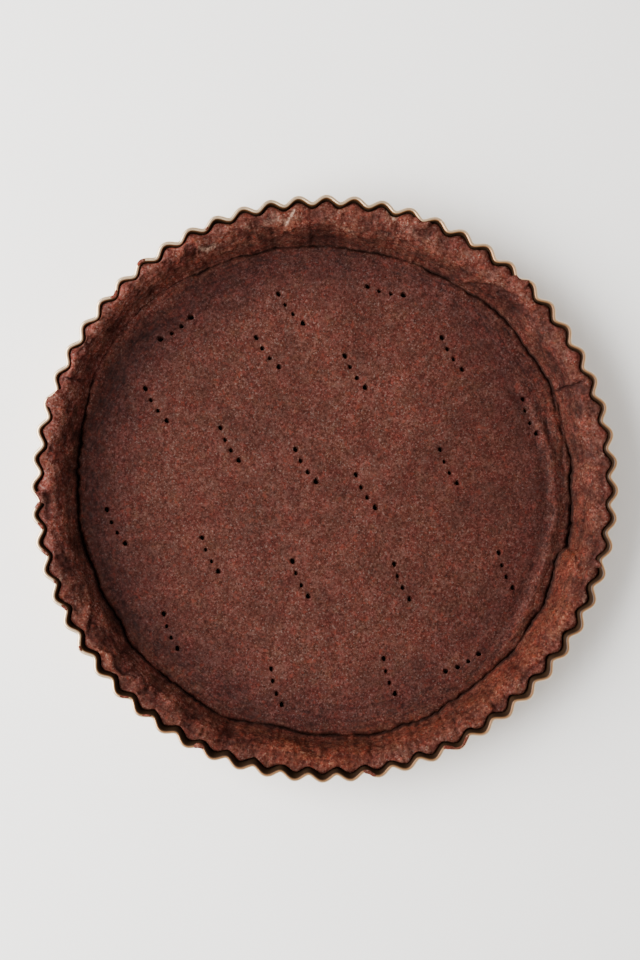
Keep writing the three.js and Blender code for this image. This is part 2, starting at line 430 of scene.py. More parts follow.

# Where the dough is dusted with flour; rubbed lighter, with painted light; and wet and darker, with painted
# shade: (degrees, radius) points, a width and a strength
FLOUR = [
    ([(12.2, 121.3), (13.4, 119.3), (14.2, 118.6)], 0.7, 0.9),
    ([(12.6, 118.8), (13.2, 111.5)], 0.4, 0.35),
    ([(351.2, 113.9), (352.2, 115.7), (353.4, 119.2)], 0.65, 0.95),
    ([(347, 115.7), (349.5, 116.5), (351.5, 114.5)], 1.7, 0.33),
    ([(348.4, 118.5), (350, 118)], 1.3, 0.3),
    ([(342.4, 116.7), (343.6, 115.6)], 0.9, 0.36),
    ([(332.2, 115.4), (333.6, 113.9), (335.2, 114)], 0.9, 0.75),
    ([(264, 115.5), (267, 115.2), (270.5, 115.7)], 1.5, 0.22),
    ([(273.4, 118.6), (275.2, 117.5)], 0.8, 0.28),
    ([(266.8, 120.1), (268, 119.9)], 0.6, 0.8),
    ([(250.6, 119.3), (251.2, 118.2)], 0.7, 0.6),
    ([(112, 119.9), (113.2, 120.2)], 0.7, 0.7),
    ([(82.4, 119.5), (82.9, 118.1)], 0.5, 0.5),
    ([(2, 112.6), (4.6, 110.8), (7, 108.6)], 0.4, 0.4),
    ([(306, 119.2), (307, 118.4)], 0.6, 0.5),
    ([(342.5, 109.7), (345, 109)], 0.5, 0.24),
    ([(166.5, 109.7), (168.6, 109.4)], 0.4, 0.28),
    ([(18, 116.1), (19.5, 114.3)], 1.6, 0.3),
]
# Rubbed lighter dough, and painted light: broad strokes lighten the shaded left wall, the top of the wall and
# a sheen beside the right crease
PALE_AND_PAINTED_LIGHT = [
    ([(230.4, 118.8), (231.9, 115.8), (233.8, 118.6)], 1.2, 0.9),
    ([(240.6, 118.6), (242.6, 114.6)], 1.2, 0.5),
    ([(17.6, 120.2), (19.5, 119.2), (21, 119.5)], 1.2, 0.9),
    ([(3.5, 111.5), (5.5, 110.1), (7.2, 108.3)], 0.7, 0.6),
    ([(9, 108.8), (12, 109.7), (17, 111)], 0.8, 0.35),
    ([(34, 109.3), (37, 112.4), (40, 115.3), (43.5, 117)], 1.4, 0.5),
    ([(47.4, 120.3), (48.2, 117.5)], 0.8, 0.6),
    ([(70, 112.4), (74, 112.4)], 4.0, 0.25),
    ([(85.5, 111.5), (89, 115.2)], 3.0, 0.3),
    ([(104.8, 106), (107, 109.7)], 2.2, 0.35),
    ([(66, 102.5), (74, 102.5), (82, 103)], 2.5, 1),
    ([(88, 103.5), (98, 103.5), (106, 103)], 2.0, 0.6),
    ([(60, 97), (80, 98), (100, 98), (125, 98), (152, 97)], 4.5, 0.6),
    ([(2, 111), (12, 111), (22, 111)], 3.0, 0.6),
    ([(108, 103.2), (118, 103.8), (130, 104.5)], 2.2, 0.8),
    ([(115, 113.8), (125, 114.3), (135, 112.9), (146, 112.4)], 4.0, 0.5),
    ([(149, 117.4), (150.4, 116.1)], 1.0, 0.4),
    ([(172, 113.3), (178, 115.2), (184, 113.3), (190, 111.5)], 4.0, 0.5),
    ([(207, 119.7), (212, 118.8)], 1.0, 0.4),
    ([(228.8, 119.3), (231.6, 117.7), (234, 119.3)], 1.3, 0.35),
    ([(242, 119.5), (248, 119.3)], 1.2, 0.35),
    ([(263, 115.5), (268, 114.8), (272, 116.6), (275, 117.5)], 1.8, 0.8),
    ([(212, 111), (222, 111), (232, 111.3), (244, 111.6)], 3.0, 0.4),
    ([(262, 112.4), (272, 113.2), (284, 113.6)], 3.4, 0.9),
    ([(284, 114.6), (292, 115.4), (300, 115.6)], 3.0, 0.5),
    ([(300, 115.6), (310, 115.8), (320, 115)], 3.2, 0.9),
    ([(320, 114.8), (330, 113.6), (340, 112.6), (352, 111.6)], 4.2, 1.1),
    ([(334, 119.2), (343, 119.4), (352, 119.4), (361, 119.4), (370, 119.2), (380, 118.8)], 2.6, 0.6),
    ([(363, 113), (370, 112.5), (380, 113)], 4.5, 0.6),
    ([(284, 119.1), (286.6, 118.6)], 1.0, 0.45),
    ([(287.6, 121.7), (289.6, 119.7)], 1.3, 0.9),
    ([(294.6, 119.2), (300, 120), (306, 118.7)], 1.0, 0.7),
    ([(309, 113.9), (312.5, 112.8)], 1.4, 0.35),
    ([(332, 119.3), (336, 117.3), (340, 117.7)], 1.2, 0.5),
]
# Wet dough, and painted shade: broad strokes darken the floor at the upper and lower left where the wall
# shades it, and others darken hollows and cracks
MOIST_AND_PAINTED_SHADE = [
    ([(22.9, 120.3), (22.6, 117.8), (21.8, 115.4)], 0.45, 0.95),
    ([(225.8, 116), (228.3, 117.2), (230.2, 116)], 1.0, 0.35),
    ([(234.6, 116.6), (236.6, 117.8), (239, 116.4), (240.4, 113.6)], 1.0, 0.4),
    ([(17.2, 119.6), (17.9, 119.6)], 0.5, 0.6),
    ([(328, 114.2), (329.8, 117), (331.4, 117.6)], 1.6, 0.6),
    ([(284, 104), (298, 103), (312, 103), (328, 102), (345, 102)], 6.5, 0.85),
    ([(288, 111.5), (298, 111.8), (306, 111.5)], 2.0, 0.6),
    ([(308, 111.5), (318, 111), (328, 109.5)], 2.0, 0.5),
    ([(356.5, 106), (360, 107.9), (362.5, 106)], 2.6, 0.5),
    ([(8.6, 114.7), (9.6, 112)], 1.3, 0.45),
    ([(40, 110.2), (44, 112.4), (48, 111.5)], 2.4, 0.35),
    ([(31, 107), (33, 109.7)], 1.2, 0.35),
    ([(75.6, 109.3), (77, 111.5), (77.6, 115.2)], 0.9, 0.6),
    ([(66.6, 107.9), (66.7, 119.7)], 0.5, 0.8),
    ([(117, 118.3), (122, 118.2)], 1.2, 0.4),
    ([(128, 118.4), (131, 117), (134, 117.9)], 1.0, 0.6),
    ([(137, 119.2), (143, 119)], 1.0, 0.5),
    ([(163.5, 112.4), (163.8, 114.3)], 1.2, 0.4),
    ([(196, 112.6), (199, 115.2)], 1.6, 0.4),
    ([(205, 118.2), (210, 118.6)], 0.8, 0.4),
    ([(221, 114.7), (222.6, 112.1)], 0.7, 0.5),
    ([(254.6, 117.9), (255.4, 114.7)], 0.9, 0.3),
    ([(262, 118.2), (266, 117.5), (268.5, 118.4)], 0.8, 0.6),
    ([(305.6, 115.5), (307.4, 112.6)], 1.0, 0.7),
    ([(327.6, 113.7), (329.6, 116.1), (330.6, 117.9)], 1.3, 0.75),
    ([(331.6, 116.8), (331.9, 116.3)], 0.5, 0.8),
    ([(77, 95.4), (92, 95.8), (108, 95.6), (122, 96.5)], 3.2, 0.15),
    ([(236, 103), (244, 102.5), (252, 102), (262, 102), (280, 103)], 5.0, 0.7),
]

# Where the dough laps over the rim: degrees, half width in degrees, and reach past the case's edge
LAPS = [(19.8, 1.7, 1.2), (42.8, 1.6, 2.1), (104.9, 0.6, 1.4), (267.9, 1.2, 2.2), (288.2, 1.9, 2.1)]

# (share of the way out, share of the way up) of the case's wall, from the crease to its outer edge
WALL_SHAPE = [
    (0.0, 0.015), (-0.015, 0.05), (0.02, 0.13), (0.09, 0.27), (0.21, 0.50), (0.34, 0.71), (0.47, 0.86),
    (0.64, 0.95), (0.82, 0.99), (0.91, 1.0), (0.97, 0.97), (1.0, 0.9),
]
COVED_SHAPE = [  # the same where the floor sweeps up
    (0.0, 0.005), (0.07, 0.03), (0.14, 0.09), (0.22, 0.21), (0.33, 0.40), (0.45, 0.60), (0.58, 0.79),
    (0.71, 0.92), (0.83, 0.99), (0.91, 1.0), (0.97, 0.97), (1.0, 0.9),
]


def distance_to_line(points, line):
    """How far each (x, y) is from a line of (degrees, radius) points, on which side (1 is left) and how far
    along it."""
    corners = [
        np.array([radius * math.sin(math.radians(degrees)), radius * math.cos(math.radians(degrees))])
        for degrees, radius in line
    ]
    best = np.full(len(points), 1e9)
    along = np.zeros(len(points))
    side = np.zeros(len(points))
    for i, (a, b) in enumerate(zip(corners, corners[1:])):
        step = b - a
        share = np.clip((points - a) @ step / (step @ step), 0, 1)
        away = points - a - share[:, None] * step
        gap = np.linalg.norm(away, axis=1)
        closer = gap < best
        best = np.where(closer, gap, best)
        along = np.where(closer, (i + share) / (len(corners) - 1), along)
        side = np.where(closer, np.sign(step[0] * away[:, 1] - step[1] * away[:, 0]), side)
    return best, side, along


def mark_heights(points):
    """How far the marks raise or lower the dough at each point."""
    total = np.zeros(len(points))
    wander = np.stack([lumps(points, 2.6, 17), lumps(points, 2.6, 18)], axis=1)
    flat = points[:, :2] + 0.9 * wander
    for kind, line, width, height in MARKS:
        gap, side, along = distance_to_line(flat, line)
        fade = np.clip(6 * np.minimum(along, 1 - along) + 0.2, 0, 1)
        if kind == "line":
            total += height * fade * np.exp(-((gap / width) ** 2))
        else:
            signed = gap * side
            step = 0.5 * (1 + np.tanh(signed / 0.44))
            total += height * fade * step * np.exp(-gap / width)
            total -= 0.35 * height * fade * np.exp(-(((signed + 0.5) / 0.6) ** 2))
    return total


def case_mesh(material):
    """The case without its fork holes."""
    columns = 8 * FLOOR_CELLS
    angles = full_turn(columns)
    ring = polar(30, angles, 0)  # where the noise round the case is read
    crease = around(CREASE, angles, 0.5) + 0.3 * lumps(ring, 2.2, 1) + 0.55 * lumps(ring, 0.6, 2)
    broken = 1 + 0.9 * lumps(ring, 0.8, 3) + 0.7 * lumps(ring, 2.5, 20)
    groove = around(GROOVE, angles, 0.8) * np.clip(broken, 0.15, 1.8)
    cove, gap, top = (around(pairs, angles) for pairs in (COVE, GAP, TOP))
    gap = np.maximum(gap + 0.5 * lumps(ring, 0.8, 14) + 0.35 * lumps(ring, 1.6, 15), 0.12)
    top = top + 0.3 * lumps(ring, 6, 8) + 0.3 * lumps(ring, 1.8, 9) + 0.3 * lumps(ring, 0.5, 16)
    under_lip = crease + 0.6 * groove

    # the floor, which dips into the groove under the wall's lip
    unit, floor_faces, border = disc(FLOOR_CELLS)
    share = np.hypot(*unit.T)
    bearing = bearing_of(unit)
    edge, deep, sweep, lip = (
        np.interp(bearing, angles, values, period=2 * math.pi) for values in (under_lip, groove, cove, crease)
    )
    radius = (1 - (1 - share) ** 1.4) * edge
    inward = edge - radius
    floor = polar(radius, bearing, FLOOR_TOP)
    flat = floor * (1, 1, 0)
    floor[:, 2] += 0.45 * lumps(flat, 55, 4) + 0.26 * lumps(flat, 17, 5) + 0.15 * lumps(flat, 6, 6)
    floor[:, 2] += 0.10 * lumps(flat, 3.2, 7)
    floor[:, 2] += 0.5 * np.cos(math.pi / 2 * share)
    floor[:, 2] += sweep * (0.8 * np.exp(-((inward / 5) ** 1.3)) + 0.4 * np.exp(-((inward / 16) ** 2)))
    level = np.interp(angles, bearing[border], floor[border, 2], period=2 * math.pi)
    before = np.maximum(lip - radius, 0)
    floor[:, 2] -= 1.15 * deep * np.exp(-((before / (0.4 + 0.4 * deep)) ** 2))
    depth_there = np.interp(angles, bearing[border], floor[border, 2], period=2 * math.pi)

    # the wall, from under its lip, up, over its top and out to its edge
    rows = [(under_lip, depth_there + 0.35 * groove)]
    gives = [0.0]
    inner, depth = wall_at(WALL_TOP)
    lap = np.zeros(columns)
    for degrees, half, reach in LAPS:
        turn = (np.degrees(angles) - degrees + 180) % 360 - 180
        lap = np.maximum(lap, reach * np.exp(-((turn / half) ** 8)))
    lap = lap * (1 + 0.3 * lumps(ring, 1.0, 10))
    raised = np.clip(lap / 1.2, 0, 1)
    foot = level - 0.25 * groove
    steep, coved = (
        spline(np.array(shape) * (13, 17), WALL_ROWS) / (13, 17) for shape in (WALL_SHAPE, COVED_SHAPE)
    )
    blend = np.clip((cove - 0.3) / 1.1, 0, 1)
    for start, other in zip(steep, coved):
        out, up = start[0] + blend * (other[0] - start[0]), start[1] + blend * (other[1] - start[1])
        follow = np.clip((out - 0.72) / 0.28, 0, 1) ** 1.5
        x, y = fluted(inner, depth * follow, 0, angles)
        mean = np.hypot(x, y) - gap
        r = crease + out * (mean - crease) - 0.3 * groove * np.exp(-(((up - 0.13) / 0.1) ** 2))
        z = foot + up * (top - foot)
        near = np.clip((out - 0.8) / 0.2, 0, 1)
        r = np.where(lap * near > 0.05, np.minimum(r + lap * near, np.maximum(r, RING_TOP.x - 1.1)), r)
        z = z + raised * np.minimum(1, 2.5 * near) * (RING_TOP.z + 0.35 - z)
        z = z + 0.2 * near * np.cos(FLUTES * angles)
        rows.append((r, z))
        gives.append(1 - 0.85 * near)
    rows = [polar(r, angles, z) for r, z in rows]

    # down the outside, with half as many columns
    half_angles, half_gap, half_raised = angles[::2], gap[::2], raised[::2]
    outside = []
    for i, height in enumerate(np.linspace(WALL_TOP - 1.6, CASE_LOW.z + 1.5, 8)):
        mean, depth = wall_at(height)
        near = max(0, 1 - i / 3)
        space = half_gap * near + 1.0 * (1 - near)
        z = np.full(columns // 2, height)
        if i == 0:
            z = z + half_raised * (RING_TOP.z - 0.9 - height)
        x, y = fluted(mean, depth, -space, half_angles)
        outside.append(at_height(x, y, z))
    mean, depth = wall_at(CASE_LOW.z + 0.9)
    over_edge, over_panel = BASE_HIGH.z + CASE_LIFT, CASE_LOW.z
    x, y = fluted(mean - 1.6, depth, 0, half_angles)  # a small bevel at the foot
    outside.append(at_height(x, y, over_edge))

    points, faces = [], []

    def add(row):
        start = sum(len(p) for p in points)
        points.append(row)
        return list(range(start, start + len(row)))

    add(floor)
    faces += floor_faces
    loops = [add(row) for row in rows]
    faces += [face[::-1] for face in halving_band(loops[0], border)]
    faces += bands(loops)
    loops = [loops[-1]] + [add(row) for row in outside]
    faces += halving_band(loops[0], loops[1])
    faces += bands(loops[1:])

    # the underside, with fewer vertices, which bears the print of the base
    def under(radius, height):
        return add(polar(radius, full_turn(columns // 4), height))

    step = PANEL_RADIUS - CASE_LIFT
    half = under(step + PANEL_STEP_WIDTH + 2, over_edge)
    faces += halving_band(loops[-1], half)
    lip_row = under(step + PANEL_STEP_WIDTH, over_edge)
    faces += band(half, lip_row)
    panel = under(step, over_panel)
    faces += band(lip_row, panel)
    unit, under_faces, under_border = disc(FLOOR_CELLS // 4)
    centre = add(np.column_stack([unit * (step - 3), np.full(len(unit), over_panel)]))
    faces += halving_band(panel, [centre[i] for i in under_border])
    faces += [[centre[i] for i in quad[::-1]] for quad in under_faces]
    piece = make_piece("baked_case", np.vstack(points), faces, material)
    give = np.concatenate([np.ones(len(floor))] + [value * np.ones(columns) for value in gives])
    roughen(piece.data, give)
    paint(piece.data, angles, crease, groove)
    return piece


def roughen(mesh, give):
    """Presses the marks and the lumps of hand-worked dough into the upper side, square to its surface."""
    co = points_of(mesh)
    normal = np.empty(co.size)
    mesh.vertex_normals.foreach_get("vector", normal)
    normal = normal.reshape(-1, 3)
    upper = co[:len(give)]
    radius = np.hypot(upper[:, 0], upper[:, 1])
    height = mark_heights(upper)
    wall = np.clip((radius - 107) / 4, 0, 1)
    bearing = np.degrees(np.arctan2(upper[:, 0], upper[:, 1])) % 360
    wall *= 1 - 0.5 * np.exp(-(((bearing - 126) / 22) ** 2))
    height += wall * (1.0 * lumps(upper, 12, 11) + 0.65 * lumps(upper, 5, 12) + 0.35 * lumps(upper, 2.3, 13))
    height += np.clip((radius - 109) / 6, 0, 1) * 0.4 * lumps(upper, 1.4, 19)
    crevice = np.clip(1 - np.abs(lumps(upper, 6.5, 31) + 0.25 * lumps(upper, 2, 32)) / 0.26, 0, 1)
    height -= wall * 0.5 * crevice * np.clip(2.5 * lumps(upper, 9, 33), 0, 1)
    height *= give
    upper += normal[:len(give)] * height[:, None]
    upper[:, 2] = np.minimum(upper[:, 2], RING_TOP.z + LAP_LIFT)
    mesh.vertices.foreach_set("co", (co * MM).ravel())
    mesh.update()
    relief = np.zeros(len(co))
    relief[:len(give)] = height
    store(mesh, "relief", relief)


def paint(mesh, angles, crease, groove):
    """Stores on the mesh where the dough is dusted with flour; where it is rubbed lighter, with painted
    light;
    where it is wet and darker, with painted shade; and the painted shade in the groove under the wall.
    """
    co = points_of(mesh)
    radius = np.hypot(co[:, 0], co[:, 1])
    bearing = bearing_of(co)
    deep = np.interp(bearing, angles, groove, period=2 * math.pi)
    gap = radius - np.interp(bearing, angles, crease, period=2 * math.pi) + 0.2
    # painted shade: near black along the crease, where the wall's lip shades the groove
    low = co[:, 2] < FLOOR_TOP + 3
    width = np.where(gap > 0, 0.35, 0.4 + 0.3 * deep)
    painted_crease_shade = low * np.clip(deep, 0, 1) * np.exp(-((gap / width) ** 2))
    upper = co[:, 2] > FLOOR_TOP - 2
    wander = np.stack([lumps(co, 1.6, 21), lumps(co, 1.6, 22)], axis=1)
    marks = {"painted_crease_shade": painted_crease_shade}
    for name, strokes in (("flour", FLOUR), ("pale_and_painted_light", PALE_AND_PAINTED_LIGHT), ("moist_and_painted_shade", MOIST_AND_PAINTED_SHADE)):
        total = np.zeros(len(co))
        for line, width, strength in strokes:
            far, _, _ = distance_to_line(co[:, :2] + 0.8 * wander, line)
            total = np.maximum(total, strength * np.exp(-((far / width) ** 2)))
        if name == "moist_and_painted_shade":
            # painted shade: a broad darker band on the floor beside the groove
            total = np.maximum(total, 0.42 * np.clip(deep, 0, 1) * (gap < 0) * np.exp(-((gap / 2.4) ** 2)))
        marks[name] = total * upper
    for name, values in marks.items():
        store(mesh, name, values)


def fork_holes():
    """Tapered, leaning pegs in the shape of every fork hole. The outer tines leave wider holes."""
    dice = random.Random(4)
    sides = 14
    end = (TINES - 1) / 2 * TINE_GAP
    levels = ((FLOOR_TOP + 2, 1.5), (FLOOR_TOP - 0.1, 1.0), (FLOOR_TOP - 2.5, 0.75), (0, 0.3))
    points, faces = [], []
    for x, y, heading in PRICKS:
        way = Vector((math.cos(math.radians(heading)), math.sin(math.radians(heading))))
        side = Vector((-way.y, way.x))
        for tine in range(TINES):
            along = tine * TINE_GAP - end
            aside = (along**2 - end**2) / (2 * TINE_ARC)
            centre = Vector((x, y)) + (along + dice.uniform(-0.25, 0.25)) * way + aside * side
            size = PRICK_RADIUS * dice.uniform(1.0, 1.2) * (1.35 if tine in (0, TINES - 1) else 1.05)
            start = len(points)
            for height, spread in levels:
                lean = PRICK_LEAN * (height - FLOOR_TOP) * side
                for i in range(sides):
                    turn = -2 * math.pi * i / sides
                    r = size * spread * (1 + 0.07 * math.sin(3 * turn + tine))
                    points.append((*(centre + lean + r * Vector((math.cos(turn), math.sin(turn)))), height))
            faces += capped_tube(start, sides, len(levels))
    return make_piece("fork_holes", points, faces, bpy.data.materials[0])


def pastry_case(material):
    """The case with its fork holes cut through the floor."""
    case = case_mesh(material)
    cutter = fork_holes()
    cut = case.modifiers.new("fork holes", "BOOLEAN")
    cut.operation = "DIFFERENCE"
    cut.solver = "EXACT"
    cut.object = cutter
    depsgraph = bpy.context.evaluated_depsgraph_get()
    mesh = bpy.data.meshes.new_from_object(case.evaluated_get(depsgraph))
    case.modifiers.clear()
    case.data = mesh
    bpy.data.objects.remove(cutter)
    return case


# Bits of dough baked onto the outside of the rim: degrees, half width in degrees, half height, half thickness
CRUMBS = [
    (150.4, 0.8, 0.55, 0.5), (153.9, 1.0, 0.6, 0.7), (152.4, 1.0, 0.5, 0.4), (170.6, 1.0, 0.6, 0.7),
    (205.6, 0.95, 0.6, 0.9), (217.9, 0.6, 0.4, 0.4), (223.7, 0.6, 0.4, 0.4), (236.4, 0.4, 0.4, 0.4),
    (245.1, 0.7, 0.5, 0.5), (250.6, 0.5, 0.5, 0.4), (256.8, 0.7, 0.5, 0.5), (262.2, 0.7, 0.5, 0.5),
    (266.2, 0.6, 0.5, 0.6), (312.3, 0.9, 0.6, 0.6), (320.6, 0.6, 0.6, 0.6), (335.4, 0.4, 0.4, 0.3),
]


def rim_crumbs(material):
    sides = 12
    points, faces = [], []
    turns = full_turn(sides)
    for degrees, half, high, thick in CRUMBS:
        start = len(points)
        levels = np.linspace(0.12, math.pi - 0.12, 15)
        for i, level in enumerate(levels):
            angle = np.full(sides, math.radians(degrees - 1.3 * half * math.cos(level)))
            spread = math.sin(level) ** 0.8
            grain = Vector((degrees, 0, i / 3))
            around_grain = [grain + Vector((math.cos(t), math.sin(t), 0)) for t in turns]
            rough = np.array([1 + 0.45 * noise.noise(spot) for spot in around_grain])
            out = 0.7 * BEAD + 0.3 * thick + 1.25 * thick * spread * rough * np.cos(turns)
            x, y = fluted(RIM_INNER, RIM_FLUTE, out, angle)
            z = BEAD_HEIGHT + 0.75 - high * spread * rough * np.sin(turns)
            z = np.minimum(z, RING_TOP.z + LAP_LIFT)
            points += list(zip(x, y, z))
        faces += capped_tube(start, sides, len(levels))
    crumbs = make_piece("rim_crumbs", points, faces, material)
    # the crumbs are made lighter all over
    store(crumbs.data, "pale_and_painted_light", [1.2] * len(points))
    return crumbs


# ---- materials


class Shader:
    """A material and short ways to add nodes to it."""

    def __init__(self, name):
        self.material = bpy.data.materials.new(name)
        self.material.use_nodes = True
        self.tree = self.material.node_tree
        self.tree.nodes.clear()
        self.place = self.add("TexCoord").outputs["Object"]

    def add(self, kind, settings=None, **inputs):
        node = self.tree.nodes.new("ShaderNode" + kind)
        for name, value in (settings or {}).items():
            setattr(node, name, value)
        for name, value in inputs.items():
            socket = node.inputs[int(name[1:])] if name[0] == "_" else node.inputs[name.replace("_", " ")]
            if isinstance(value, bpy.types.NodeSocket):
                self.tree.links.new(value, socket)
            else:
                socket.default_value = value
        return node

    def noise(self, size, seed, detail=2.0, roughness=0.5, bend=0.0):
        """Noise in lumps of about this many millimetres, drawn out into strands by a bend."""
        node = self.add("TexNoise", {"noise_dimensions": "4D"}, Vector=self.place, W=seed,
                        Scale=1 / (size * MM), Detail=detail, Roughness=roughness, Distortion=bend)
        return node.outputs["Fac"]

    def calculate(self, operation, first, second, third=0.0):
        """One step of arithmetic, by the name of the operation."""
        node = self.add("Math", {"operation": operation}, _0=first, _1=second, _2=third)
        return node.outputs[0]

    def flat(self):
        """The place without its height, and its distance from the axis."""
        node = self.add("VectorMath", {"operation": "MULTIPLY"}, _0=self.place, _1=(1, 1, 0))
        flat = node.outputs["Vector"]
        return flat, self.add("VectorMath", {"operation": "LENGTH"}, _0=flat).outputs["Value"]

    def towards(self, way, start, end):
        """0 to 1 between two shares of SHADE_RADIUS, going this way from the axis."""
        node = self.add("VectorMath", {"operation": "DOT_PRODUCT"}, _0=self.place, _1=way)
        share = self.calculate("DIVIDE", node.outputs["Value"], SHADE_RADIUS)
        return self.fade(share, start, end)

    def mark(self, name, scale=1.0, shift=0.0):
        """A mark stored on the mesh, as value * scale + shift."""
        value = self.add("Attribute", {"attribute_name": name}).outputs["Fac"]
        return self.calculate("MULTIPLY_ADD", value, scale, shift)

    def ramp(self, value, stops):
        node = self.add("ValToRGB", Fac=value)
        elements = node.color_ramp.elements
        while len(elements) < len(stops):
            elements.new(0.5)
        for element, (position, colour) in zip(elements, stops):
            element.position = position
            element.color = (*colour, 1) if isinstance(colour, tuple) else (colour, colour, colour, 1)
        return node.outputs["Color"]

    def fade(self, value, start, end, most=1.0):
        """0 below the start, and the most beyond the end."""
        return self.ramp(value, [(start, 0.0), (end, most)])

    def mix(self, share, first, second, blend="MIX"):
        node = self.add("Mix", {"data_type": "RGBA", "blend_type": blend}, _0=share, _6=first, _7=second)
        return node.outputs[2]

    def times(self, first, second):
        return self.mix(1.0, first, second, "MULTIPLY")

    def tint(self, share, colour, factor):
        """The colour, multiplied by the factor to this share."""
        return self.mix(share, colour, self.times(colour, (*factor, 1)))

    def bump(self, height, depth, strength=1.0, under=None):
        node = self.add("Bump", Height=height, Distance=depth * MM, Strength=strength)
        if under:
            self.tree.links.new(under, node.inputs["Normal"])
        return node.outputs["Normal"]

    def finish(self, **inputs):
        surface = self.add("BsdfPrincipled", **inputs)
        self.add("OutputMaterial", Surface=surface.outputs["BSDF"])
        return self.material


# Blotches in the dough, each over the last: its noise, where in the noise it starts and is full, how much of
# it shows there, and its colour or a tint for what is under it
DOUGH_LAYERS = [
    ((6.5, 2, 3, 0.6), 0.42, 0.60, 0.6, "tint", (1.15, 0.74, 0.86)),
    ((2, 3, 2), 0.58, 0.68, 0.6, "colour", (0.092, 0.0165, 0.0098)),
    ((4.2, 4, 3, 0.6), 0.52, 0.68, 0.55, "tint", (1.02, 1.38, 1.05)),
    ((2.2, 14, 4, 0.6, 1.2), 0.50, 0.66, 0.48, "colour", (0.084, 0.037, 0.0285)),
    # lighter specks: partly the dough's own crumb and partly a painted sheen on the grains
    ((0.8, 5, 1), 0.60, 0.70, 0.5, "colour", (0.12, 0.08, 0.066)),
    ((9, 6, 5, 0.75), 0.56, 0.70, 0.35, "colour", (0.08, 0.032, 0.023)),
    ((5.5, 7, 4, 0.65), 0.46, 0.66, 0.38, "colour", (0.02, 0.0058, 0.0037)),
]


def pastry_material():
    s = Shader("dark_pastry")
    grain = s.noise(0.95, 1, 4, 0.65, 0.7)
    colour = s.ramp(grain, [
        (0.29, (0.011, 0.0014, 0.0006)), (0.43, (0.0265, 0.0048, 0.0025)), (0.55, (0.049, 0.0132, 0.0082)),
        (0.69, (0.09, 0.041, 0.0315)),
    ])
    for grains, start, full, most, kind, shade in DOUGH_LAYERS:
        share = s.fade(s.noise(*grains), start, full, most)
        colour = s.tint(share, colour, shade) if kind == "tint" else s.mix(share, colour, (*shade, 1))
    blotch = s.ramp(s.noise(20, 8, 5, 0.65), [(0.3, 0.68), (0.7, 1.13)])
    colour = s.times(colour, blotch)
    # painted shade along the crease, painted light on the left wall and the wall's top, and the dough's own
    # tone
    colour = s.times(colour, edge_tone_and_painted_light(s))
    streak = streaks(s)
    drawn = s.ramp(streak, [(0.36, (0.52, 0.5, 0.52)), (0.5, 1.0), (0.66, 1.16)])
    colour = s.times(colour, drawn)
    relief = s.mark("relief", 0.5, 0.5)
    # raised dough lighter, partly rubbed wear and partly painted highlight; hollows darker, painted shade
    worn_with_painted_light_and_shade = s.ramp(relief, [(0.15, (0.5, 0.44, 0.44)), (0.5, 1.0), (0.9, (1.4, 1.45, 1.4))])
    colour = s.times(colour, worn_with_painted_light_and_shade)
    patchy = s.ramp(s.noise(2.2, 12, 4, 0.7), [(0.3, 0.35), (0.62, 1.0)])
    # lighter where the dough is rubbed, and painted light on shaded walls and a sheen on the floor
    pale_and_painted_light = s.times(patchy, s.mark("pale_and_painted_light", 0.75))
    colour = s.tint(pale_and_painted_light, colour, (1.60, 1.66, 1.50))
    # darker where the dough is wet, and painted shade in hollows, cracks and the wall's shade
    moist_and_painted_shade = s.times(patchy, s.mark("moist_and_painted_shade"))
    colour = s.tint(moist_and_painted_shade, colour, (0.5, 0.36, 0.37))
    # painted shade along the crease under the wall
    painted_crease_shade = s.mark("painted_crease_shade")
    colour = s.mix(s.fade(painted_crease_shade, 0.05, 0.75, 0.8), colour, (0.007, 0.0022, 0.0013, 1))
    dust = s.fade(s.noise(1.0, 9, 5, 0.75), 0.4, 0.6)
    flour = s.times(s.fade(s.mark("flour"), 0.15, 0.9, 0.9), dust)
    colour = s.mix(flour, colour, (0.36, 0.225, 0.165, 1))
    # painted shade: near black inside the fork holes
    colour = s.mix(painted_shade_in_holes(s), colour, (0.004, 0.0016, 0.0012, 1))
    rough = s.ramp(s.noise(2.2, 6, 3), [(0.3, 0.6), (0.7, 0.9)])
    bump = s.bump(grain, 0.13, 0.8)
    bump = s.bump(s.noise(2.0, 7, 3), 0.35, 0.7, bump)
    bump = s.bump(streak, 0.5, 0.6, bump)
    return s.finish(Base_Color=colour, Roughness=rough, Normal=bump, Specular_IOR_Level=0.08)


def streaks(s):
    """Noise drawn out round the case where the floor turns up into the wall, and flat elsewhere."""
    flat, radius = s.flat()
    way = s.add("VectorMath", {"operation": "NORMALIZE"}, _0=flat).outputs["Vector"]
    parts = s.add("SeparateXYZ", Vector=way)
    x, y = (s.calculate("MULTIPLY", parts.outputs[axis], 0.03) for axis in "XY")
    place = s.add("CombineXYZ", X=x, Y=y, Z=radius).outputs["Vector"]
    drawn = s.add("TexNoise", {"noise_dimensions": "4D"}, Vector=place, W=3, Scale=1 / (1.3 * MM), Detail=3,
                  Roughness=0.6)
    share = s.calculate("DIVIDE", radius, SHADE_RADIUS)
    zone = s.ramp(share, [(0.68, 0.15), (0.76, 1.0), (0.86, 1.0), (0.9, 0.25)])
    return s.mix(zone, (0.5, 0.5, 0.5, 1), drawn.outputs["Fac"])


